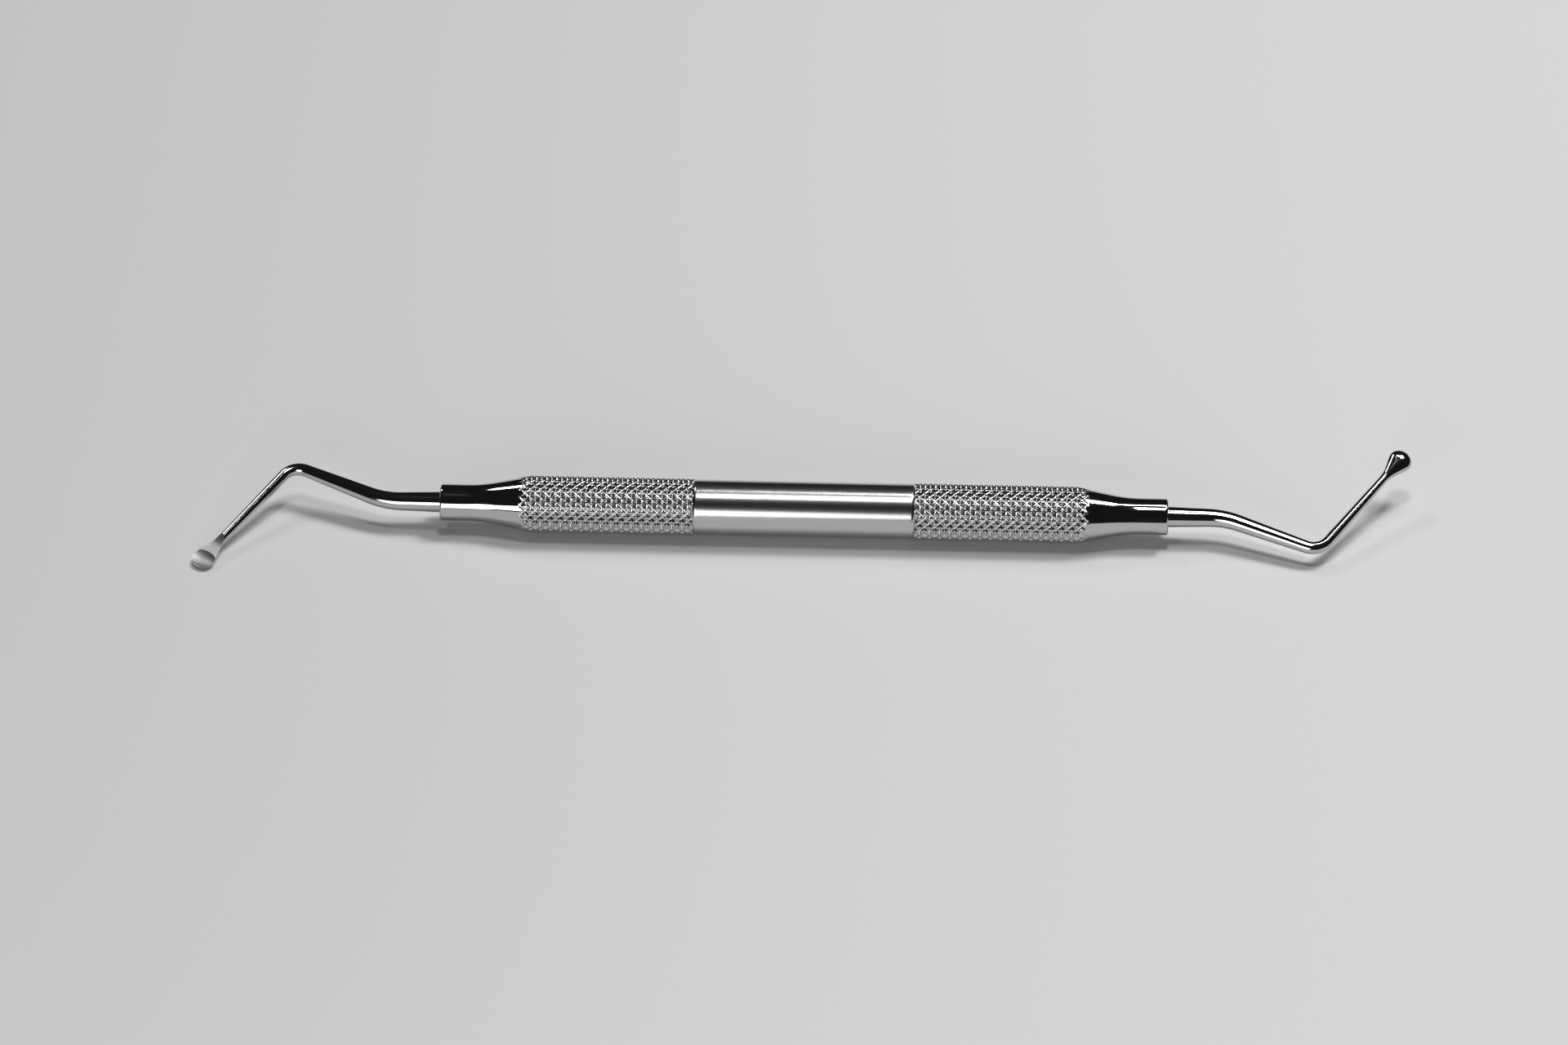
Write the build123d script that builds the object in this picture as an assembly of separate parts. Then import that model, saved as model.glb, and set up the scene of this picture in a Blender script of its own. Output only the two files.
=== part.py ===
from build123d import *

import os
from math import atan, cos, pi, radians, sin, tan

# Double-ended bone curette: a turned and knurled handle with a spoon tip seated in each end

# Handle, turned about X
handle_length = 105.0
grip_diameter = 8.0
grip_length = 32.0
ferrule_diameter = 5.3
ferrule_length = 3.8
ferrule_edge_radius = 0.35
flare_angle = 11.2
flare_radius = 22.0

# Diamond knurl on both sides of the plain grip
knurl_crest_diameter = 8.16
knurl_depth = 0.34
knurl_pitch = 1.46
knurl_starts = 18

# Socket in the handle's end and the tang that is seated in it
tang_diameter = 3.0
tang_length = 10.0
tang_clearance = 0.02
tang_chamfer = 0.3
socket_chamfer = 0.1

# Shank, along its centre line from the handle's end to the neck of the spoon
shank_exit = 8.04
shank_reach = 14.8
shank_terminal = 15.6
left_shank_bend = 23.2
right_shank_bend = 21.7
left_elbow_bend = 77.0
right_elbow_bend = 76.0
bend_radius = 12.0
elbow_radius = 2.7
elbow_diameter = 1.66
neck_diameter = 1.26

# Spoon, along its own line from the neck to the tip
left_spoon_length = 6.3
right_spoon_length = 6.0
spoon_width = 3.45
spoon_round = 1.65
spoon_depth = 1.0
flank_angle = 20.5
flank_blend = 0.25
flank_sections = 9
left_spoon_pitch = -2.1
right_spoon_pitch = 2.5
left_spoon_twist = -8.3
right_spoon_twist = 13.0
face_start = 0.2
face_height = 0.05
hollow_start = 2.2
hollow_depth = 0.5
hollow_crown_radius = 3.9
tip_land = 0.12

# How exactly the roll is found at which the instrument lies on its grip and its left spoon
roll_step = 0.005

grip_radius = grip_diameter / 2
crest_radius = knurl_crest_diameter / 2
root_radius = crest_radius - knurl_depth
ferrule_radius = ferrule_diameter / 2
tang_radius = tang_diameter / 2
knurl_columns = 2 * knurl_starts
handle_half = handle_length / 2
grip_half = grip_length / 2

# The flare is an arc tangent to the ferrule and a straight cone up to the grip's diameter
flare_slope = tan(radians(flare_angle))
flare_arc_length = flare_radius * sin(radians(flare_angle))
flare_arc_rise = flare_radius * (1 - cos(radians(flare_angle)))
cone_length = (grip_radius - ferrule_radius - flare_arc_rise) / flare_slope
cone_start = handle_half - ferrule_length - flare_arc_length - cone_length

# The knurl runs out where the cone is as thin as the floor of its grooves
runout_length = (grip_radius - root_radius) / flare_slope
band_end = cone_start + runout_length
band_length = band_end - grip_half

# At rest the handle lies on two neighbouring lines of peaks
axis_height = crest_radius * cos(pi / knurl_columns)

# In plan the spoon's flank is a straight taper, tangent to the oval round of the bowl
neck_radius = neck_diameter / 2
bowl_radius = spoon_width / 2
flank_slope = tan(radians(flank_angle))
flank_at_centre = (bowl_radius**2 + (flank_slope * spoon_round) ** 2) ** 0.5
flank_setback = flank_slope * spoon_round**2 / flank_at_centre


def peak_radius(x):
    """Radius of the knurl's peaks at a distance x from the middle: level, then down to the cone."""
    return crest_radius - max(0.0, x - cone_start) * (crest_radius - root_radius) / runout_length


def handle_end():
    """Cone, flare and ferrule of the right-hand end, with its blind socket."""
    arc_start = cone_start + cone_length
    ferrule_start = handle_half - ferrule_length
    arc_middle_angle = radians(flare_angle / 2)
    arc_middle = (
        ferrule_start - flare_radius * sin(arc_middle_angle),
        ferrule_radius + flare_radius * (1 - cos(arc_middle_angle)),
    )
    edge = ferrule_edge_radius
    edge_middle = edge * (1 - cos(pi / 4))
    outline = Wire([
        Edge.make_line((band_end, 0), (band_end, root_radius)),
        Edge.make_line((band_end, root_radius), (arc_start, ferrule_radius + flare_arc_rise)),
        Edge.make_three_point_arc(
            (arc_start, ferrule_radius + flare_arc_rise), arc_middle, (ferrule_start, ferrule_radius)
        ),
        Edge.make_line((ferrule_start, ferrule_radius), (handle_half - edge, ferrule_radius)),
        Edge.make_three_point_arc(
            (handle_half - edge, ferrule_radius),
            (handle_half - edge_middle, ferrule_radius - edge_middle),
            (handle_half, ferrule_radius - edge),
        ),
        Edge.make_line((handle_half, ferrule_radius - edge), (handle_half, 0)),
        Edge.make_line((handle_half, 0), (band_end, 0)),
    ])
    turned = revolve(Face(outline), Axis.X)
    socket_radius = tang_radius + tang_clearance / 2
    mouth = Plane(origin=(handle_half, 0, 0), z_dir=(-1, 0, 0))
    drill = mouth * Cylinder(socket_radius, tang_length, align=(Align.CENTER, Align.CENTER, Align.MIN))
    flared_mouth = mouth * Cone(
        socket_radius + socket_chamfer,
        socket_radius,
        socket_chamfer,
        align=(Align.CENTER, Align.CENTER, Align.MIN),
    )
    return turned - drill - flared_mouth


def knurl_point(row, column, rows):
    """Peak of a pyramid where row and column are both odd or both even, and a groove crossing elsewhere."""
    x = grip_half + band_length * row / rows
    radius = peak_radius(x) if (row + column) % 2 == 0 else root_radius
    angle = 2 * pi * (column + 0.5) / knurl_columns
    return Vector(x, radius * cos(angle), radius * sin(angle))


def knurled_band():
    """Right-hand band of diamond knurl: one four-sided pyramid to each crossing pair of grooves."""
    rows = max(4, round(band_length / (knurl_pitch / 2)))
    faces = []
    for row in range(rows + 1):
        for column in range(knurl_columns):
            if (row + column) % 2:
                continue
            corners = [
                (row - 1, column),
                (row, column + 1),
                (row + 1, column),
                (row, column - 1),
            ]
            for first, second in zip(corners, corners[1:] + corners[:1]):
                if min(first[0], second[0]) < 0 or max(first[0], second[0]) > rows:
                    continue
                points = [knurl_point(*corner, rows) for corner in ((row, column), first, second)]
                faces.append(Face(Wire.make_polygon(points)))
    for row in (0, rows):
        rim = [knurl_point(row, column, rows) for column in range(knurl_columns)]
        faces.append(Face(Wire.make_polygon(rim)))
    return Solid(Shell(faces))


def handle():
    """Plain grip, two knurled bands and two cone ends, all turned from one bar."""
    grip = Rot(0, 90, 0) * Cylinder(grip_radius, grip_length)
    band = knurled_band()
    end = handle_end()
    far_side = Plane.YZ
    return grip.fuse(band, end, mirror(band, about=far_side), mirror(end, about=far_side))


def shank_line(shank_bend, elbow_bend):
    """Centre line of the shank: straight runs joined by tangent arcs, in the plane of its bends."""
    first_corner = Vector(shank_exit, 0)
    elbow_corner = first_corner + Vector(shank_reach, 0).rotate(Axis.Z, shank_bend)
    neck = elbow_corner + Vector(shank_terminal, 0).rotate(Axis.Z, shank_bend - elbow_bend)
    return FilletPolyline((0, 0), first_corner, elbow_corner, neck, radius=(bend_radius, elbow_radius))


def shank(line):
    """Round shank that thins evenly down to the end of the elbow, and again from there to the neck."""
    runs = line.edges().sort_by(line)
    elbow_distance = line.length - runs[-1].length
    solid = None
    distance = 0.0
    for run in runs:
        ends = []
        for reached in (distance, distance + run.length):
            before = min(reached / elbow_distance, 1.0)
            after = max(reached - elbow_distance, 0.0) / runs[-1].length
            diameter = (
                tang_diameter
                + (elbow_diameter - tang_diameter) * before
                + (neck_diameter - elbow_diameter) * after
            )
            ends.append(Circle(diameter / 2))
        piece = sweep([(run ^ 0) * ends[0], (run ^ 1) * ends[1]], path=run, multisection=True)
        solid = piece if solid is None else solid + piece
        distance += run.length
    return solid


def tang():
    """Plain round tang behind the shank, with a chamfer at its inner end."""
    pin = Rot(0, -90, 0) * Cylinder(tang_radius, tang_length, align=(Align.CENTER, Align.CENTER, Align.MIN))
    return chamfer(pin.edges().sort_by(Axis.X)[0], tang_chamfer)


def spoon_half_width(before_centre):
    """Half width at a distance before the bowl's centre: a taper blended into the neck, then an oval."""
    if before_centre < flank_setback:
        return bowl_radius * (1 - (before_centre / spoon_round) ** 2) ** 0.5
    widening = flank_at_centre - flank_slope * before_centre - neck_radius
    return neck_radius + (widening + (widening**2 + flank_blend**2) ** 0.5) / 2


def spoon_body(neck, frame, length):
    """Rounded body: sections that widen from the round neck to the bowl, and its egg-shaped end."""
    bowl_centre = length - spoon_round
    sections = [neck * Circle(neck_radius)]
    for count in range(1, flank_sections + 1):
        distance = bowl_centre * count / flank_sections
        half_width = spoon_half_width(bowl_centre - distance)
        widened = (half_width - neck_radius) / (bowl_radius - neck_radius)
        half_depth = neck_radius + (spoon_depth - neck_radius) * widened
        across = Plane(origin=frame.from_local_coords((distance, 0, 0)), x_dir=frame.y_dir, z_dir=frame.x_dir)
        sections.append(across * Ellipse(half_width, half_depth))
    flank = loft(sections)
    quarter = Plane.XZ * (
        Ellipse(bowl_radius, spoon_depth) & Rectangle(bowl_radius, 2 * spoon_depth, align=(Align.MIN, Align.CENTER))
    )
    half_round = Rot(0, 0, -90) * revolve(quarter, Axis.Z, revolution_arc=180)
    end = scale(half_round, by=(spoon_round / bowl_radius, 1, 1))
    return flank + frame * (Pos(bowl_centre, 0, 0) * end)


def face_cutter(length):
    """All that is ground away above the spoon's face: a ramp off the shank, then a level."""
    top = 2 * spoon_depth
    ramp_run = face_start + hollow_start
    ramp_drop = elbow_diameter / 2 - face_height
    ramp_turn = 2 * atan(ramp_drop / ramp_run)
    ramp_radius = ramp_run / sin(ramp_turn)
    ramp_middle = (
        hollow_start - ramp_radius * sin(ramp_turn / 2),
        face_height + ramp_radius * (1 - cos(ramp_turn / 2)),
    )
    past_tip = length + spoon_depth
    outline = Wire([
        Edge.make_three_point_arc(
            (-face_start, face_height + ramp_drop), ramp_middle, (hollow_start, face_height)
        ),
        Edge.make_line((hollow_start, face_height), (past_tip, face_height)),
        Edge.make_line((past_tip, face_height), (past_tip, top)),
        Edge.make_line((past_tip, top), (-face_start, top)),
        Edge.make_line((-face_start, top), (-face_start, face_height + ramp_drop)),
    ])
    return extrude(Plane.XZ * Face(outline), spoon_width, both=True)


def hollow_cutter(length):
    """Crowned wheel whose rim grinds the hollow of the spoon, with its axle across the spoon."""
    hollow_end = length - tip_land
    chord = hollow_end - hollow_start
    wheel_radius = chord**2 / (8 * hollow_depth) + hollow_depth / 2
    half_rim = spoon_width / 2 + tip_land
    rim_drop = hollow_crown_radius - (hollow_crown_radius**2 - half_rim**2) ** 0.5
    outline = Wire([
        Edge.make_three_point_arc(
            (-half_rim, wheel_radius - rim_drop), (0, wheel_radius), (half_rim, wheel_radius - rim_drop)
        ),
        Edge.make_line((half_rim, wheel_radius - rim_drop), (half_rim, 0)),
        Edge.make_line((half_rim, 0), (-half_rim, 0)),
        Edge.make_line((-half_rim, 0), (-half_rim, wheel_radius - rim_drop)),
    ])
    wheel = Rot(0, 0, 90) * revolve(Face(outline), Axis.X)
    return Pos((hollow_start + hollow_end) / 2, 0, face_height - hollow_depth + wheel_radius) * wheel


def spoon(line, length, pitch, twist):
    """Spoon tip at the end of the shank's line, turned by its pitch and twist about the neck."""
    level = Plane(origin=line @ 1, x_dir=line % 1, z_dir=(0, 0, 1))
    frame = Plane(level.location * Rot(0, -pitch, 0) * Rot(twist, 0, 0))
    return spoon_body(line ^ 1, frame, length) - frame * face_cutter(length) - frame * hollow_cutter(length)


def right_curette():
    """Tip of the right-hand end before it is rolled: its elbow is low and its spoon shows its back."""
    line = shank_line(right_shank_bend, right_elbow_bend)
    tip = tang() + shank(line) + spoon(line, right_spoon_length, right_spoon_pitch, right_spoon_twist)
    return Pos(handle_half, 0, 0) * (Rot(-90, 0, 0) * tip)


def left_curette():
    """Tip of the left-hand end, a mirror image: its elbow is high and its spoon faces up."""
    line = shank_line(left_shank_bend, left_elbow_bend)
    tip = tang() + shank(line) + spoon(line, left_spoon_length, left_spoon_pitch, left_spoon_twist)
    return Pos(-handle_half, 0, 0) * mirror(Rot(90, 0, 0) * tip, about=Plane.YZ)


def lowest(solid, roll):
    """Height of the lowest point of a solid that is rolled about the handle's axis."""
    return (Rot(-roll, 0, 0) * solid).bounding_box().min.Z


def resting_roll(tip):
    """Roll at which the left tip touches the floor that the handle lies on, found by halving."""
    too_steep, too_flat = 0.0, 90.0
    while too_flat - too_steep > roll_step:
        middle = (too_steep + too_flat) / 2
        if lowest(tip, middle) < -axis_height:
            too_steep = middle
        else:
            too_flat = middle
    return too_flat


def main():
    """Write each piece where it lies at rest, with the floor at the height of zero."""
    os.makedirs("parts", exist_ok=True)
    left = left_curette()
    at_rest = Pos(0, 0, axis_height) * Rot(-resting_roll(left), 0, 0)
    pieces = {
        "handle": Pos(0, 0, axis_height) * handle(),
        "left_curette": at_rest * left,
        "right_curette": at_rest * right_curette(),
    }
    for name, piece in pieces.items():
        export_step(piece, f"parts/{name}.step")


main()
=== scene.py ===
"""Double-ended bone curette on a pale floor: a knurled steel handle with a polished spoon tip at each end."""
import logging
import math
from dataclasses import dataclass
from enum import Enum

import bpy
import numpy as np
from mathutils import Matrix, Vector


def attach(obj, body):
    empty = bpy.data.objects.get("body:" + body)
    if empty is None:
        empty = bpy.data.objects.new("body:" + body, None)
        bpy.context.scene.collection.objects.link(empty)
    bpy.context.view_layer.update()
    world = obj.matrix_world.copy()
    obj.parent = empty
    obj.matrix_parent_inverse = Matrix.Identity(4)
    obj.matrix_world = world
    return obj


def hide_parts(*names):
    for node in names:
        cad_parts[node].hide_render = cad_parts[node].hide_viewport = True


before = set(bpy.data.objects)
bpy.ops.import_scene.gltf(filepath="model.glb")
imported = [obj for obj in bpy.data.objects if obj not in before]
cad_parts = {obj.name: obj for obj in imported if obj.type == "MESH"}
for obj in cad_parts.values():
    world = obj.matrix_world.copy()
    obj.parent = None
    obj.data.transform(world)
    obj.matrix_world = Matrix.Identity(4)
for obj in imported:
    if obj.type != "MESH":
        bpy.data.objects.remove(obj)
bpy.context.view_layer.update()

log = logging.getLogger("bone_curette")
MILLIMETRE = 0.001
COURSE = "course"
CLOUD_DETAIL = 4.0
GRAIN_DETAIL = 3.0
NOISE_MIDDLE = 0.5
ELBOW_DIAMETER = 1.66
NECK_DIAMETER = 1.26


class RecordSlot(Enum):
    """Material slots of the record that the pieces take their finish from."""

    HANDLE = "handle_steel"
    TIP = "tip_steel"


class End(Enum):
    """Ends of the instrument, as the sign of X that they lie on."""

    LEFT = -1
    RIGHT = 1


class LampShape(Enum):
    """Outlines of a lamp's face."""

    RECTANGLE = "RECTANGLE"
    ELLIPSE = "ELLIPSE"


def principled(name: str) -> tuple[bpy.types.Material, bpy.types.Node]:
    """Start a material that has one Principled shader.

    Args:
        name: Name of the material.

    Returns:
        The material and its shader node.
    """
    material = bpy.data.materials.new(name)
    material.use_nodes = True
    return material, material.node_tree.nodes["Principled BSDF"]


def fill(node: bpy.types.Node, values: dict[str, float]) -> None:
    """Set inputs of a node to fixed values.

    Args:
        node: Node that is set.
        values: Value of each input, by the input's name.
    """
    for name, value in values.items():
        node.inputs[name].default_value = value


def wear_group() -> bpy.types.NodeTree:
    """Build the shared group for fine wear of a steel surface.

    A soft cloud of noise varies the roughness, and a second noise gives the height of the grain.

    Returns:
        Group with inputs Vector, Roughness, Variation, Cloud Scale and Grain Scale, and outputs
        Roughness and Height.
    """
    group = bpy.data.node_groups.new("fine_wear", "ShaderNodeTree")
    sockets = group.interface
    sockets.new_socket("Vector", in_out="INPUT", socket_type="NodeSocketVector")
    for name in ("Roughness", "Variation", "Cloud Scale", "Grain Scale"):
        sockets.new_socket(name, in_out="INPUT", socket_type="NodeSocketFloat")
    for name in ("Roughness", "Height"):
        sockets.new_socket(name, in_out="OUTPUT", socket_type="NodeSocketFloat")
    nodes, links = group.nodes, group.links
    inside = nodes.new("NodeGroupInput")
    outside = nodes.new("NodeGroupOutput")
    cloud = nodes.new("ShaderNodeTexNoise")
    fill(cloud, {"Detail": CLOUD_DETAIL})
    grain = nodes.new("ShaderNodeTexNoise")
    fill(grain, {"Detail": GRAIN_DETAIL})
    centred = nodes.new("ShaderNodeMath")
    centred.operation = "SUBTRACT"
    centred.inputs[1].default_value = NOISE_MIDDLE
    spread = nodes.new("ShaderNodeMath")
    spread.operation = "MULTIPLY_ADD"
    links.new(inside.outputs["Vector"], cloud.inputs["Vector"])
    links.new(inside.outputs["Cloud Scale"], cloud.inputs["Scale"])
    links.new(inside.outputs["Vector"], grain.inputs["Vector"])
    links.new(inside.outputs["Grain Scale"], grain.inputs["Scale"])
    links.new(cloud.outputs["Fac"], centred.inputs[0])
    links.new(centred.outputs[0], spread.inputs[0])
    links.new(inside.outputs["Variation"], spread.inputs[1])
    links.new(inside.outputs["Roughness"], spread.inputs[2])
    links.new(spread.outputs[0], outside.inputs["Roughness"])
    links.new(grain.outputs["Fac"], outside.inputs["Height"])
    return group


@dataclass(frozen=True)
class SteelFinish:
    """Finish of stainless steel, from mirror polish to a ground face.

    The noise scales are counted per metre, the grain's depth is in metres, and coordinates names
    the mesh attribute that the grain follows. Without it the grain follows the Object coordinates.
    """

    name: str
    grey: float
    roughness: float
    variation: float
    cloud_scale: float = 300.0
    grain_scale: float = 4000.0
    grain_stretch: tuple[float, float, float] = (1.0, 1.0, 1.0)
    grain_depth: float = 0.0
    coordinates: str = ""

    def material(self, wear: bpy.types.NodeTree) -> bpy.types.Material:
        """Build the material of this finish.

        Args:
            wear: Shared group for fine wear.

        Returns:
            The material.
        """
        material, shader = principled(self.name)
        nodes, links = material.node_tree.nodes, material.node_tree.links
        shader.inputs["Base Color"].default_value = (self.grey, self.grey, self.grey, 1.0)
        fill(shader, {"Metallic": 1.0})
        if self.coordinates:
            place = nodes.new("ShaderNodeAttribute")
            place.attribute_name = self.coordinates
            position = place.outputs["Vector"]
        else:
            position = nodes.new("ShaderNodeTexCoord").outputs["Object"]
        stretch = nodes.new("ShaderNodeMapping")
        stretch.inputs["Scale"].default_value = self.grain_stretch
        worn = nodes.new("ShaderNodeGroup")
        worn.node_tree = wear
        fill(worn, {
            "Roughness": self.roughness,
            "Variation": self.variation,
            "Cloud Scale": self.cloud_scale,
            "Grain Scale": self.grain_scale,
        })
        links.new(position, stretch.inputs["Vector"])
        links.new(stretch.outputs["Vector"], worn.inputs["Vector"])
        links.new(worn.outputs["Roughness"], shader.inputs["Roughness"])
        if self.grain_depth:
            bump = nodes.new("ShaderNodeBump")
            fill(bump, {"Distance": self.grain_depth})
            links.new(worn.outputs["Height"], bump.inputs["Height"])
            links.new(bump.outputs["Normal"], shader.inputs["Normal"])
        return material


POLISHED = SteelFinish("polished_steel", grey=0.54, roughness=0.06, variation=0.03)
TIP_POLISH = SteelFinish("tip_polish", grey=0.54, roughness=0.08, variation=0.03)
KNURLED = SteelFinish("knurled_steel", grey=0.56, roughness=0.24, variation=0.06)
SATIN = SteelFinish(
    "satin_steel", grey=0.54, roughness=0.22, variation=0.03,
    grain_scale=2000.0, grain_stretch=(5.0, 0.8, 0.8), grain_depth=7e-6,
)
GROUND = SteelFinish(
    "ground_steel", grey=0.46, roughness=0.42, variation=0.10,
    cloud_scale=6000.0, grain_scale=12000.0, grain_stretch=(1.0, 0.4, 1.0), grain_depth=3e-5,
    coordinates=COURSE,
)


def skin(name: str, points: np.ndarray, first_pole: np.ndarray, last_pole: np.ndarray) -> bpy.types.Mesh:
    """Make a closed skin from rings of points, with a fan of triangles at each end.

    Args:
        name: Name of the mesh.
        points: Array of rings by columns by three, in metres; each ring is closed.
        first_pole: Point that closes the first ring.
        last_pole: Point that closes the last ring.

    Returns:
        Mesh whose quads come ring by ring, then the fans of both ends.
    """
    rings, columns = points.shape[:2]
    number = np.arange(rings * columns).reshape(rings, columns)
    onward = np.roll(number, -1, axis=1)
    quads = np.stack([number[:-1], number[1:], onward[1:], onward[:-1]], axis=-1).reshape(-1, 4)
    first, last = rings * columns, rings * columns + 1
    start_fan = np.stack([number[0], onward[0], np.full(columns, first)], axis=-1)
    end_fan = np.stack([onward[-1], number[-1], np.full(columns, last)], axis=-1)
    vertices = np.concatenate([points.reshape(-1, 3), first_pole[None], last_pole[None]])
    mesh = bpy.data.meshes.new(name)
    mesh.from_pydata(vertices.tolist(), [], [*quads.tolist(), *start_fan.tolist(), *end_fan.tolist()])
    mesh.shade_smooth()
    return mesh


def choose_materials(mesh: bpy.types.Mesh, second: np.ndarray) -> None:
    """Give some of the first faces of a mesh its second material, and the rest its first.

    Args:
        mesh: Mesh that has two materials.
        second: True for each quad that takes the second material, ring by ring.
    """
    numbers = np.zeros(len(mesh.polygons), dtype=np.int32)
    numbers[: second.size] = second.ravel()
    mesh.polygons.foreach_set("material_index", numbers)


def place_piece(
    mesh: bpy.types.Mesh, materials: list[bpy.types.Material], node: str
) -> None:
    """Put a finished mesh into the scene in place of a CAD node.

    Args:
        mesh: Mesh in the row frame.
        materials: Materials in the order of the mesh's material numbers.
        node: CAD node that the piece stands for.
    """
    piece = bpy.data.objects.new(mesh.name, mesh)
    bpy.context.scene.collection.objects.link(piece)
    for material in materials:
        mesh.materials.append(material)
    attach(piece, "root")
    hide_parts(node)
    log.info("%s: %d faces", piece.name, len(mesh.polygons))


@dataclass(frozen=True)
class Stance:
    """How the instrument lies on the floor. Sizes in millimetres, the roll in degrees."""

    handle_length: float = 105.0
    axis_height: float = 4.0645
    roll: float = 74.287


@dataclass(frozen=True)
class Handle:
    """Turned handle: satin grip, two bands of diamond knurl, two polished ends. Sizes in millimetres.

    The knurl's crests stand a little proud of the grip. The floors of its grooves keep their radius
    while the cone falls below the crests, so the grooves run out as points on the cone: the finely
    ringed part reaches runout_reach past the cone's start. A face counts as knurled where it is cut
    by more than faintest_groove. The first ring of an end, of hidden_radius, lies behind the grip's end.
    """

    stance: Stance
    grip_diameter: float = 8.0
    grip_length: float = 32.0
    ferrule_diameter: float = 5.3
    ferrule_length: float = 3.8
    ferrule_edge_radius: float = 0.35
    flare_angle: float = 11.2
    flare_radius: float = 22.0
    socket_diameter: float = 3.02
    socket_depth: float = 1.0
    socket_chamfer: float = 0.1
    crest_diameter: float = 8.134
    knurl_depth: float = 0.34
    knurl_pitch: float = 1.46
    knurl_starts: int = 18
    knurl_phase: float = 0.5
    groove_floor: float = 0.15
    pyramid_top: float = 0.25
    runout_reach: float = 3.0
    faintest_groove: float = 0.004
    hidden_radius: float = 2.0
    steps_per_half_pitch: int = 8
    plain_rings: int = 39
    edge_rings: int = 8
    grip_rings: int = 65

    @property
    def half(self) -> float:
        """Half of the handle's length."""
        return self.stance.handle_length / 2

    @property
    def slope(self) -> float:
        """Slope of the cone."""
        return math.tan(math.radians(self.flare_angle))

    @property
    def arc_length(self) -> float:
        """Length along the axis of the arc between cone and ferrule."""
        return self.flare_radius * math.sin(math.radians(self.flare_angle))

    @property
    def cone_start(self) -> float:
        """Place of the cone's start, where the cone has the grip's diameter.

        Returns:
            Distance from the middle of the handle.
        """
        arc_rise = self.flare_radius * (1 - math.cos(math.radians(self.flare_angle)))
        cone_length = (self.grip_diameter / 2 - self.ferrule_diameter / 2 - arc_rise) / self.slope
        return self.half - self.ferrule_length - self.arc_length - cone_length

    @property
    def columns(self) -> int:
        """Number of points in a ring."""
        return 2 * self.knurl_starts * self.steps_per_half_pitch

    @property
    def angles(self) -> np.ndarray:
        """Angles about the axis of the points in a ring."""
        return np.arange(self.columns) * 2 * math.pi / self.columns

    def blank_radius(self, x: np.ndarray) -> np.ndarray:
        """Radius of the turned blank outside the grip.

        Level at the crest, a cone, an arc tangent to the ferrule, the ferrule, and its rounded edge.

        Args:
            x: Distances from the middle of the handle.

        Returns:
            Radii at those distances.
        """
        grip, ferrule = self.grip_diameter / 2, self.ferrule_diameter / 2
        ferrule_start = self.half - self.ferrule_length
        arc_start = ferrule_start - self.arc_length
        cone = grip - (x - self.cone_start) * self.slope
        arc = ferrule + self.flare_radius - np.sqrt(
            np.maximum(self.flare_radius**2 - np.minimum(x - ferrule_start, 0) ** 2, 0)
        )
        level_or_cone = np.minimum(cone, self.crest_diameter / 2)
        turned = np.where(x < arc_start, level_or_cone, np.where(x < ferrule_start, arc, ferrule))
        edge = self.ferrule_edge_radius
        past_edge = np.clip(x - (self.half - edge), 0, edge)
        rounding = edge - np.sqrt(np.maximum(edge**2 - past_edge**2, 0))
        return turned - rounding

    def knurled_radius(self, x: np.ndarray, angle: np.ndarray) -> np.ndarray:
        """Radius of the knurled blank.

        Two families of helical grooves cross: each is a V with a narrow floor, whose depth rises
        evenly with the distance from its nearest groove, and the surface is the least of both
        families and the blank.

        Args:
            x: Distances from the middle, from the inner edge of the band outwards.
            angle: Angles about the axis, in radians.

        Returns:
            Radii on the grid of x by angle.
        """
        row = (x - self.grip_length / 2) / (self.knurl_pitch / 2)
        column = angle * self.knurl_starts / math.pi - self.knurl_phase
        grooves_around = self.knurl_starts / (math.pi * self.crest_diameter)
        groove_gap = 1 / math.hypot(1 / self.knurl_pitch, grooves_around)
        floor = self.groove_floor / groove_gap
        top = 1 - self.pyramid_top / groove_gap
        radius = np.broadcast_to(self.blank_radius(x), np.broadcast(x, angle).shape)
        for family in (row + column, row - column):
            lattice = family / 2
            climb = 1 - 2 * np.abs(lattice - np.round(lattice))
            rise = np.maximum((climb - floor) / (top - floor), 0)
            groove = self.crest_diameter / 2 - self.knurl_depth * (1 - rise)
            radius = np.minimum(radius, groove)
        return radius

    def rings(self, stations: np.ndarray, radii: np.ndarray, sign: int) -> np.ndarray:
        """Rings of points about the axis.

        Each point lies at its ring's station, the radius times the cosine of its angle to the side
        of the axis, and the radius times the sine above it.

        Args:
            stations: Distances from the middle, one to a ring.
            radii: Radii, one to a ring or rings by columns.
            sign: Side of the handle on which the rings lie.

        Returns:
            Array of rings by columns by three, in metres.
        """
        radii = np.broadcast_to(radii.reshape(len(stations), -1), (len(stations), self.columns))
        return MILLIMETRE * np.stack(
            [
                np.broadcast_to(sign * stations[:, None], radii.shape),
                radii * np.cos(sign * self.angles),
                radii * np.sin(sign * self.angles) + self.stance.axis_height,
            ],
            axis=-1,
        )

    def pole(self, x: float) -> np.ndarray:
        """Point of the axis, in metres.

        Args:
            x: Signed distance from the middle of the handle.

        Returns:
            The point.
        """
        return MILLIMETRE * np.array([x, 0, self.stance.axis_height])

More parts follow.
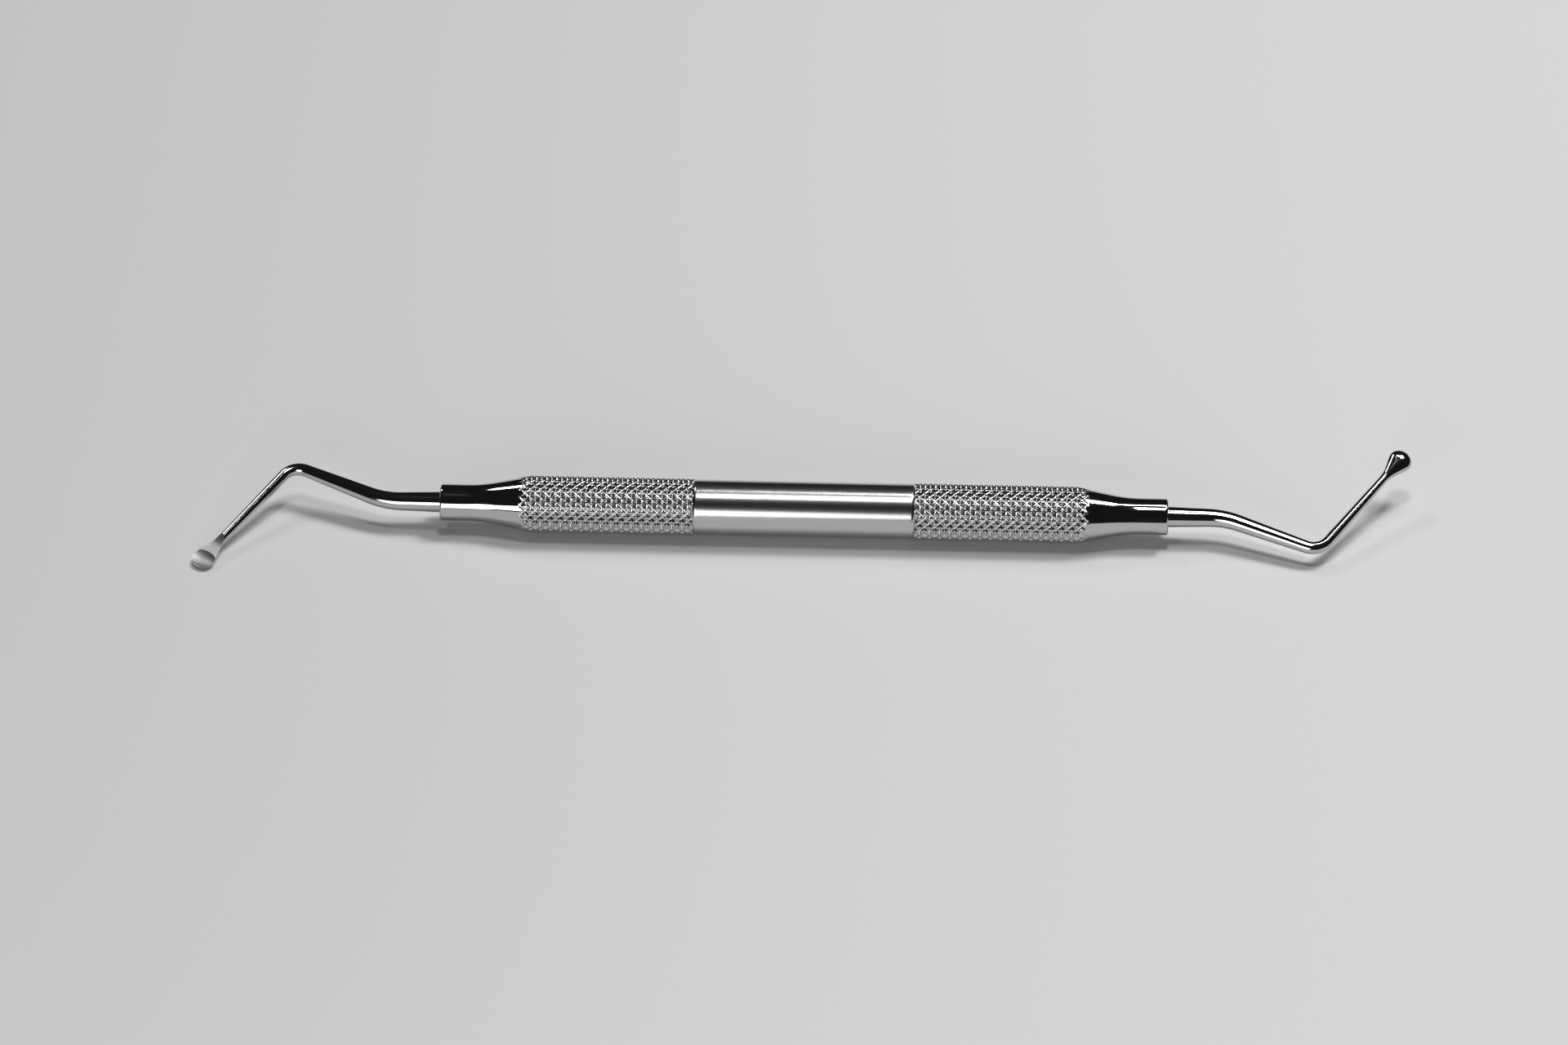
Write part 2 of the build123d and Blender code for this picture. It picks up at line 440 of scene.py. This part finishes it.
    def end_piece(self, end: End, materials: list[bpy.types.Material]) -> None:
        """Make the knurled band, cone, flare and ferrule of one end.

        Args:
            end: End that is made.
            materials: Polished and knurled steel.
        """
        sign = end.value
        step = self.knurl_pitch / 2 / self.steps_per_half_pitch
        inner = self.grip_length / 2
        knurl_rings = int((self.cone_start + self.runout_reach - inner) / step)
        knurl_x = inner + step * np.arange(knurl_rings)
        edge_start = self.half - self.ferrule_edge_radius
        plain_x = np.linspace(knurl_x[-1], edge_start, self.plain_rings + 1)[1:]
        round_turn = np.linspace(0, math.pi / 2, self.edge_rings + 1)[1:]
        edge_x = self.half - self.ferrule_edge_radius * (1 - np.sin(round_turn))
        socket = self.socket_diameter / 2
        socket_x = self.half - np.array([0, self.socket_chamfer, self.socket_depth])
        points = np.concatenate([
            self.rings(knurl_x[:1], np.array([self.hidden_radius]), sign),
            self.rings(knurl_x, self.knurled_radius(knurl_x[:, None], self.angles[None]), sign),
            self.rings(plain_x, self.blank_radius(plain_x), sign),
            self.rings(edge_x, self.blank_radius(edge_x), sign),
            self.rings(socket_x, np.array([socket + self.socket_chamfer, socket, socket]), sign),
        ])
        poles = self.pole(sign * inner), self.pole(sign * (self.half - self.socket_depth))
        mesh = skin(f"handle_{end.name.lower()}", points, *poles)
        if end is End.RIGHT:
            mesh.flip_normals()
        middle_x = (knurl_x[:-1] + knurl_x[1:])[:, None] / 2
        middle_angle = self.angles[None] + math.pi / self.columns
        uncut = self.blank_radius(middle_x) - self.faintest_groove
        knurled = (self.knurled_radius(middle_x, middle_angle) < uncut) | (middle_x < self.cone_start)
        choose_materials(mesh, np.concatenate([np.ones((1, self.columns), dtype=bool), knurled]))
        place_piece(mesh, materials, "handle")

    def grip_piece(self, material: bpy.types.Material) -> None:
        """Make the plain satin grip between the bands.

        Args:
            material: Satin steel.
        """
        half = self.grip_length / 2
        stations = np.linspace(-half, half, self.grip_rings)
        points = self.rings(stations, np.full(len(stations), self.grip_diameter / 2), 1)
        mesh = skin("handle_grip", points, self.pole(-half), self.pole(half))
        mesh.flip_normals()
        place_piece(mesh, [material], "handle")

    def build(self, wear: bpy.types.NodeTree) -> None:
        """Make all pieces of the handle.

        Args:
            wear: Shared group for fine wear.
        """
        materials = [POLISHED.material(wear), KNURLED.material(wear)]
        for end in End:
            self.end_piece(end, materials)
        self.grip_piece(SATIN.material(wear))


@dataclass(frozen=True)
class Shank:
    """Round shank that thins towards the spoon, with two bends in one plane. Millimetres and degrees."""

    bend: float
    elbow: float
    exit: float = 8.04
    reach: float = 14.8
    terminal: float = 15.6
    bend_radius: float = 12.0
    elbow_radius: float = 2.7
    tang_diameter: float = 3.0
    tang_shown: float = 0.9
    elbow_diameter: float = ELBOW_DIAMETER
    neck_diameter: float = NECK_DIAMETER
    straight_rings: int = 14
    arc_rings: int = 60

    def runs(self) -> list[tuple[float, float]]:
        """Split the centre line into straight runs and arcs.

        Returns:
            Length and curvature of each run, from the handle to the neck.
        """
        bend, elbow = math.radians(self.bend), math.radians(self.elbow)
        bend_inset = self.bend_radius * math.tan(bend / 2)
        elbow_inset = self.elbow_radius * math.tan(elbow / 2)
        return [
            (self.exit - bend_inset, 0.0),
            (self.bend_radius * bend, 1 / self.bend_radius),
            (self.reach - bend_inset - elbow_inset, 0.0),
            (self.elbow_radius * elbow, -1 / self.elbow_radius),
            (self.terminal - elbow_inset, 0.0),
        ]

    def run_ends(self) -> np.ndarray:
        """Distances along the line at which the runs end."""
        return np.cumsum([length for length, _ in self.runs()])

    def centre_line(self, distance: np.ndarray) -> tuple[np.ndarray, np.ndarray]:
        """Follow the shank's centre line.

        Each run adds the integral of the heading's cosine and sine over the part of it that is
        passed: the distance times both for a straight run, and a chord of its circle for an arc.

        Args:
            distance: Distances along the line from the handle's end.

        Returns:
            Points of the line in the plane of its bends, and the headings there in radians.
        """
        points = np.stack([np.minimum(distance, 0), np.zeros_like(distance)], axis=-1)
        headings = np.zeros_like(distance)
        start = start_heading = 0.0
        for length, curvature in self.runs():
            passed = np.clip(distance - start, 0, length)
            if curvature:
                turned = start_heading + curvature * passed
                points[:, 0] += (np.sin(turned) - math.sin(start_heading)) / curvature
                points[:, 1] += (math.cos(start_heading) - np.cos(turned)) / curvature
            else:
                points[:, 0] += passed * math.cos(start_heading)
                points[:, 1] += passed * math.sin(start_heading)
            headings += curvature * passed
            start_heading += curvature * length
            start += length
        return points, headings

    def stations(self) -> np.ndarray:
        """Choose where rings lie: the hidden start of the tang, then along each run.

        Returns:
            Distances along the line from the handle's end, close together on the arcs.
        """
        stops = [0.0, *self.run_ends()]
        spans = [
            np.linspace(start, stop, self.arc_rings if curvature else self.straight_rings, endpoint=False)
            for start, stop, (_, curvature) in zip(stops, stops[1:], self.runs())
        ]
        return np.concatenate([[-self.tang_shown], *spans])

    def radius(self, distance: np.ndarray) -> np.ndarray:
        """Radius of the shank, which thins evenly to the end of the elbow and again to the neck.

        Args:
            distance: Distances along the line from the handle's end.

        Returns:
            Radii at those distances.
        """
        elbow_end, neck = self.run_ends()[-2:]
        before = np.clip(distance / elbow_end, 0, 1)
        after = np.clip((distance - elbow_end) / (neck - elbow_end), 0, 1)
        thinned = (self.elbow_diameter - self.tang_diameter) * before
        return (self.tang_diameter + thinned + (self.neck_diameter - self.elbow_diameter) * after) / 2


@dataclass(frozen=True)
class Spoon:
    """Ground spoon, measured from the neck along its own line. Sizes in millimetres, angles in degrees.

    Before the face starts the grinding stays at clear_height, which is above all of the shank. The
    sections lean into the spoon's pitch over the length lean_in.
    """

    length: float
    pitch: float
    twist: float
    neck_diameter: float = NECK_DIAMETER
    width: float = 3.45
    round: float = 1.65
    depth: float = 1.0
    flank_angle: float = 20.5
    flank_blend: float = 0.25
    blend_power: int = 6
    face_start: float = 0.2
    ramp_top: float = ELBOW_DIAMETER / 2
    face_height: float = 0.05
    ramp_end: float = 2.2
    hollow_start: float = 3.4
    hollow_depth: float = 0.32
    hollow_crown_radius: float = 8.0
    tip_land: float = 0.12
    clear_height: float = 3.0
    lean_in: float = 1.0
    steepest_edge: float = 80.0
    edge_halvings: int = 30
    flank_rings: int = 130
    round_rings: int = 56
    back_columns: int = 84
    face_columns: int = 84

    @property
    def bowl_centre(self) -> float:
        """Distance from the neck to the centre of the bowl's round end."""
        return self.length - self.round

    def stations(self) -> np.ndarray:
        """Choose where rings lie: evenly along the flank, and by the sine on the round end.

        Returns:
            Distances from the neck, short of the tip itself.
        """
        flank = np.linspace(0, self.bowl_centre, self.flank_rings, endpoint=False)
        turn = np.linspace(0, math.pi / 2, self.round_rings + 1)[:-1]
        return np.concatenate([flank, self.bowl_centre + self.round * np.sin(turn)])

    def half_width(self, distance: np.ndarray) -> np.ndarray:
        """Half width of the spoon in plan.

        A straight taper is blended into the neck, and it is tangent to the oval round of the bowl.
        What the blend adds at the neck itself is taken off again over the first stretch.

        Args:
            distance: Distances from the neck along the spoon.

        Returns:
            Half widths at those distances.
        """
        neck, bowl = self.neck_diameter / 2, self.width / 2
        slope = math.tan(math.radians(self.flank_angle))
        at_centre = math.hypot(bowl, slope * self.round)
        setback = slope * self.round**2 / at_centre
        before = self.bowl_centre - distance
        widening = at_centre - slope * before - neck
        taper = (widening + np.sqrt(widening**2 + self.flank_blend**2)) / 2
        first = at_centre - slope * self.bowl_centre - neck
        surplus = (first + math.hypot(first, self.flank_blend)) / 2
        taper = taper - surplus * np.maximum(1 - distance / self.bowl_centre, 0) ** self.blend_power
        oval = bowl * np.sqrt(np.maximum(1 - (before / self.round) ** 2, 0))
        return np.where(before < setback, oval, neck + taper)

    def half_depth(self, distance: np.ndarray, half_width: np.ndarray) -> np.ndarray:
        """Half depth of the spoon: it grows with the width up to the bowl, then rounds off with it.

        Args:
            distance: Distances from the neck along the spoon.
            half_width: Half widths there.

        Returns:
            Half depths at those distances.
        """
        neck, bowl = self.neck_diameter / 2, self.width / 2
        widened = (half_width - neck) / (bowl - neck)
        growing = neck + (self.depth - neck) * widened
        rounding = self.depth * half_width / bowl
        return np.where(distance < self.bowl_centre, growing, rounding)

    def face_level(self, distance: np.ndarray, across: np.ndarray) -> np.ndarray:
        """Height that the spoon is ground down to.

        The ramp off the shank is an arc tangent to the level face, and a crowned wheel sinks the
        hollow below that face.

        Args:
            distance: Distances from the neck along the spoon.
            across: Distances to the side of the spoon's middle.

        Returns:
            Heights above the spoon's own middle plane.
        """
        run = self.face_start + self.ramp_end
        drop = self.ramp_top - self.face_height
        ramp_radius = (run**2 + drop**2) / (2 * drop)
        climb = np.clip(self.ramp_end - distance, 0, run)
        ramp = self.face_height + ramp_radius - np.sqrt(ramp_radius**2 - climb**2)
        ramp = np.where(distance < -self.face_start, self.clear_height, ramp)
        hollow_end = self.length - self.tip_land
        chord = hollow_end - self.hollow_start
        wheel_radius = chord**2 / (8 * self.hollow_depth) + self.hollow_depth / 2
        crown = self.hollow_crown_radius
        rim = wheel_radius - crown + np.sqrt(crown**2 - across**2)
        middle = (self.hollow_start + hollow_end) / 2
        axle = self.face_height - self.hollow_depth + wheel_radius
        wheel = axle - np.sqrt(np.maximum(rim**2 - (distance - middle) ** 2, 0))
        return np.minimum(ramp, wheel)

    def edge_angles(self, distance: np.ndarray, width: np.ndarray, depth: np.ndarray) -> np.ndarray:
        """Angles on the elliptic sections at which the back meets the face, found by halving.

        Args:
            distance: Distances from the neck, one to a section.
            width: Half widths of the ellipses.
            depth: Half depths of the ellipses.

        Returns:
            Angles in radians, for all sections at once.
        """
        low = np.full(len(distance), -math.pi / 2)
        high = np.full(len(distance), math.radians(self.steepest_edge))
        for _ in range(self.edge_halvings):
            middle = (low + high) / 2
            under = depth * np.sin(middle) < self.face_level(distance, width * np.cos(middle))
            low, high = np.where(under, middle, low), np.where(under, high, middle)
        return (low + high) / 2

    def sections(self, distance: np.ndarray, half_width: np.ndarray, half_depth: np.ndarray) -> np.ndarray:
        """Closed cross-sections: an elliptic back, and the ground face from one edge to the other.

        The back is the half width times the cosine and the half depth times the sine of an angle
        that runs from edge to edge. The face is the lower of the ellipse's top and the ground level.

        Args:
            distance: Distances from the neck, one to a section.
            half_width: Half widths of the ellipses.
            half_depth: Half depths of the ellipses.

        Returns:
            Array of sections by columns by two: to the side and up.
        """
        edge = self.edge_angles(distance, half_width, half_depth)[:, None]
        width, depth = half_width[:, None], half_depth[:, None]
        around = np.linspace(0, 1, self.back_columns + 1)[None]
        angle = math.pi - edge + (math.pi + 2 * edge) * around
        back = np.stack([width * np.cos(angle), depth * np.sin(angle)], axis=-1)
        over = np.linspace(1, -1, self.face_columns + 1)[None, 1:-1]
        across = width * np.cos(edge) * over
        top = depth * np.sqrt(np.maximum(1 - (across / width) ** 2, 0))
        face = np.stack([across, np.minimum(top, self.face_level(distance[:, None], across))], axis=-1)
        return np.concatenate([back, face], axis=1)


@dataclass(frozen=True)
class Curette:
    """Tip of one end: a polished shank and the ground spoon at its end, as one closed skin.

    Edges sharper than crease_angle, in degrees, are shaded as creases.
    """

    end: End
    stance: Stance
    shank: Shank
    spoon: Spoon
    crease_angle: float = 25.0

    def in_place(self, local: np.ndarray) -> np.ndarray:
        """Set points of the tip's own frame where they lie at rest.

        The right tip bends down and the left tip, its mirror image, bends up; then both are rolled
        about the handle's axis.

        Args:
            local: Points with the plane of the bends as their first two coordinates.

        Returns:
            Points of the row frame, in metres.
        """
        sign = self.end.value
        roll = math.radians(self.stance.roll)
        x, y, z = np.moveaxis(local, -1, 0)
        deep, high = sign * z, -sign * y
        return MILLIMETRE * np.stack([
            sign * (self.stance.handle_length / 2 + x),
            deep * math.cos(roll) + high * math.sin(roll),
            -deep * math.sin(roll) + high * math.cos(roll) + self.stance.axis_height,
        ], axis=-1)

    def skin_points(self, along: np.ndarray, passed: np.ndarray, outline: np.ndarray) -> np.ndarray:
        """Lay the cross-sections along the shank and on along the spoon.

        The sections are twisted about the line all the way, and they lean into the spoon's pitch
        over its first stretch. A point is its place on the centre line, plus what it lies ahead
        along the heading and to the side across it. The reach gives its cosine of the pitch ahead
        and its sine in height, and the section's rise is tipped back by the lean.

        Args:
            along: Distances of the shank's rings from the handle's end.
            passed: Distances of the spoon's rings from the neck.
            outline: Cross-sections of all rings.

        Returns:
            Points of all rings in the tip's own frame.
        """
        line, heading = self.shank.centre_line(along)
        neck_line, neck_heading = self.shank.centre_line(self.shank.run_ends()[-1:])
        base = np.concatenate([line, np.repeat(neck_line, len(passed), axis=0)])
        course = np.concatenate([heading, np.repeat(neck_heading, len(passed))])[:, None]
        reach = np.concatenate([np.zeros(len(along)), passed])[:, None]
        pitch, twist = math.radians(self.spoon.pitch), math.radians(self.spoon.twist)
        lean = pitch * np.clip(reach / self.spoon.lean_in, 0, 1)
        side = outline[..., 0] * math.cos(twist) - outline[..., 1] * math.sin(twist)
        rise = outline[..., 0] * math.sin(twist) + outline[..., 1] * math.cos(twist)
        ahead = reach * math.cos(pitch) - rise * np.sin(lean)
        return np.stack([
            base[:, :1] + ahead * np.cos(course) - side * np.sin(course),
            base[:, 1:] + ahead * np.sin(course) + side * np.cos(course),
            reach * math.sin(pitch) + rise * np.cos(lean),
        ], axis=-1)

    def tip_point(self) -> np.ndarray:
        """Find the very end of the spoon, which closes the skin.

        Returns:
            The point in the tip's own frame.
        """
        neck_line, neck_heading = self.shank.centre_line(self.shank.run_ends()[-1:])
        pitch = math.radians(self.spoon.pitch)
        ahead = self.spoon.length * math.cos(pitch)
        x, y = neck_line[0] + ahead * np.array([math.cos(neck_heading[0]), math.sin(neck_heading[0])])
        return np.array([x, y, self.spoon.length * math.sin(pitch)])

    def build(self, materials: list[bpy.types.Material]) -> None:
        """Make the tip, with its ground face in a material of its own.

        Args:
            materials: Polished steel and ground steel.
        """
        side = self.end.name.lower()
        along, passed = self.shank.stations(), self.spoon.stations()
        radius, width = self.shank.radius(along), self.spoon.half_width(passed)
        outline = np.concatenate([
            self.spoon.sections(along - self.shank.run_ends()[-1], radius, radius),
            self.spoon.sections(passed, width, self.spoon.half_depth(passed, width)),
        ])
        first_pole = self.in_place(np.array([-self.shank.tang_shown, 0.0, 0.0]))
        points = self.in_place(self.skin_points(along, passed, outline))
        mesh = skin(f"{side}_tip", points, first_pole, self.in_place(self.tip_point()))
        mesh.set_sharp_from_angle(angle=math.radians(self.crease_angle))
        reach = np.concatenate([np.zeros(len(along)), passed])
        self.map_course(mesh, reach, outline)
        on_face = np.arange(outline.shape[1])[None] >= self.spoon.back_columns
        choose_materials(mesh, (reach[1:, None] > 0) & on_face)
        place_piece(mesh, materials, f"{side}_curette")

    def map_course(self, mesh: bpy.types.Mesh, reach: np.ndarray, outline: np.ndarray) -> None:
        """Write the place of each point across and along the spoon, which the ground grain follows.

        Args:
            mesh: Mesh that gets the attribute.
            reach: Distances of the rings from the neck.
            outline: Cross-sections of the rings.
        """
        across = outline[..., 0]
        course = np.zeros((len(mesh.vertices), 3))
        course[: across.size, 0] = MILLIMETRE * across.ravel()
        course[: across.size, 1] = MILLIMETRE * np.repeat(reach, across.shape[1])
        mesh.attributes.new(COURSE, "FLOAT_VECTOR", "POINT").data.foreach_set("vector", course.ravel())


@dataclass(frozen=True)
class Camera:
    """Camera at the photograph's angle. Sizes in metres and degrees, lens and sensor in millimetres."""

    elevation: float = 40.0
    azimuth: float = 1.829
    distance: float = 1.5
    focal_length: float = 238.77
    sensor_width: float = 36.0
    slide_right: float = -0.002882
    slide_up: float = -0.001887
    nearest: float = 0.05
    farthest: float = 20.0

    def build(self, aim: Vector) -> None:
        """Place the camera.

        Args:
            aim: Point of the object that it looks at before it slides.
        """
        data = bpy.data.cameras.new("camera")
        data.sensor_width = self.sensor_width
        data.lens = self.focal_length
        data.clip_start, data.clip_end = self.nearest, self.farthest
        camera = bpy.data.objects.new("camera", data)
        bpy.context.scene.collection.objects.link(camera)
        azimuth, elevation = math.radians(self.azimuth), math.radians(self.elevation)
        back = Vector((
            math.sin(azimuth) * math.cos(elevation),
            -math.cos(azimuth) * math.cos(elevation),
            math.sin(elevation),
        ))
        right = Vector((math.cos(azimuth), math.sin(azimuth), 0))
        up = back.cross(right)
        camera.location = aim + back * self.distance + right * self.slide_right + up * self.slide_up
        camera.rotation_euler = Matrix((right, up, back)).transposed().to_euler()
        bpy.context.scene.camera = camera


@dataclass(frozen=True)
class SoftLamp:
    """Soft lamp whose face looks at the object. Sizes in metres; a radiance of 1 shows as white."""

    name: str
    place: tuple[float, float, float]
    size: tuple[float, float]
    radiance: float
    shape: LampShape = LampShape.RECTANGLE

    def build(self) -> None:
        """Hang the lamp."""
        data = bpy.data.lights.new(self.name, "AREA")
        data.shape = self.shape.value
        data.size, data.size_y = self.size
        data.energy = self.radiance * math.pi * self.size[0] * self.size[1]
        light = bpy.data.objects.new(self.name, data)
        bpy.context.scene.collection.objects.link(light)
        light.location = self.place
        light.rotation_euler = Vector(self.place).to_track_quat("Z", "Y").to_euler()


@dataclass(frozen=True)
class Floor:
    """Pale matt floor with painted light: its grey is painted darker to the left and paler to the right,
    where the light is stronger. Sizes in metres.
    """

    size: float = 3.0
    # Painted light: the floor's greys at the left and the right, paler where the light is stronger.
    painted_light_greys: tuple[float, float] = (0.72, 0.85)
    painted_light_span: tuple[float, float] = (-0.16, 0.12)
    roughness: float = 0.9
    specular: float = 0.1

    def material(self) -> bpy.types.Material:
        """Build the floor's material, whose grey rises softly from left to right as painted light.

        Returns:
            The material.
        """
        material, shader = principled("floor_paper")
        nodes, links = material.node_tree.nodes, material.node_tree.links
        place = nodes.new("ShaderNodeTexCoord")
        parts = nodes.new("ShaderNodeSeparateXYZ")
        # Painted light: a grey ramp that paints the floor darker to the left and paler to the right.
        painted_light_ramp = nodes.new("ShaderNodeMapRange")
        painted_light_ramp.interpolation_type = "SMOOTHSTEP"
        left, right = self.painted_light_span
        dark, pale = self.painted_light_greys
        fill(painted_light_ramp, {"From Min": left, "From Max": right, "To Min": dark, "To Max": pale})
        fill(shader, {"Roughness": self.roughness, "Specular IOR Level": self.specular})
        links.new(place.outputs["Object"], parts.inputs["Vector"])
        links.new(parts.outputs["X"], painted_light_ramp.inputs["Value"])
        links.new(painted_light_ramp.outputs["Result"], shader.inputs["Base Color"])
        return material

    def build(self) -> None:
        """Lay the floor."""
        half = self.size / 2
        corners = [(-half, -half, 0), (half, -half, 0), (half, half, 0), (-half, half, 0)]
        mesh = bpy.data.meshes.new("floor")
        mesh.from_pydata(corners, [], [(0, 1, 2, 3)])
        mesh.materials.append(self.material())
        floor = bpy.data.objects.new("floor", mesh)
        bpy.context.scene.collection.objects.link(floor)


@dataclass(frozen=True)
class Studio:
    """Dark room with a pale floor, ceiling lamps and a low lamp in front."""

    stance: Stance
    room_grey: float = 0.012
    floor: Floor = Floor()
    camera: Camera = Camera()
    lamps: tuple[SoftLamp, ...] = (
        SoftLamp("overhead_lamp", (0.06, -0.015, 1.3), (0.24, 0.19), 22.0),
        SoftLamp("overhead_strip", (0.18, 0.53, 1.3), (0.36, 0.14), 10.0),
        SoftLamp("right_ceiling_lamp", (0.80, 0.56, 1.65), (0.5, 0.5), 20.0),
        SoftLamp("left_ceiling_lamp", (-0.85, 1.15, 1.6), (0.4, 0.4), 9.0),
        SoftLamp("front_lamp", (-0.175, -0.6, 0.18), (0.41, 0.32), 3.0, LampShape.ELLIPSE),
    )

    def build(self) -> None:
        """Set up the room, the lamps, the floor and the camera."""
        world = bpy.data.worlds.new("room")
        world.use_nodes = True
        background = world.node_tree.nodes["Background"]
        background.inputs["Color"].default_value = (self.room_grey, self.room_grey, self.room_grey, 1.0)
        bpy.context.scene.world = world
        bpy.context.scene.view_settings.view_transform = "Standard"
        for lamp in self.lamps:
            lamp.build()
        self.floor.build()
        self.camera.build(Vector((0, 0, MILLIMETRE * self.stance.axis_height)))


def main() -> None:
    """Build the instrument and its studio, and report each piece."""
    logging.basicConfig(level=logging.INFO, format="%(name)s: %(message)s")
    wear = wear_group()
    stance = Stance()
    Handle(stance).build(wear)
    tip_materials = [TIP_POLISH.material(wear), GROUND.material(wear)]
    left_spoon = Spoon(length=6.29, pitch=-2.1, twist=-8.3)
    right_spoon = Spoon(length=5.99, pitch=2.5, twist=13.0)
    Curette(End.LEFT, stance, Shank(bend=23.2, elbow=77.0), left_spoon).build(tip_materials)
    Curette(End.RIGHT, stance, Shank(bend=21.7, elbow=76.0), right_spoon).build(tip_materials)
    Studio(stance).build()


if __name__ == "__main__":
    main()
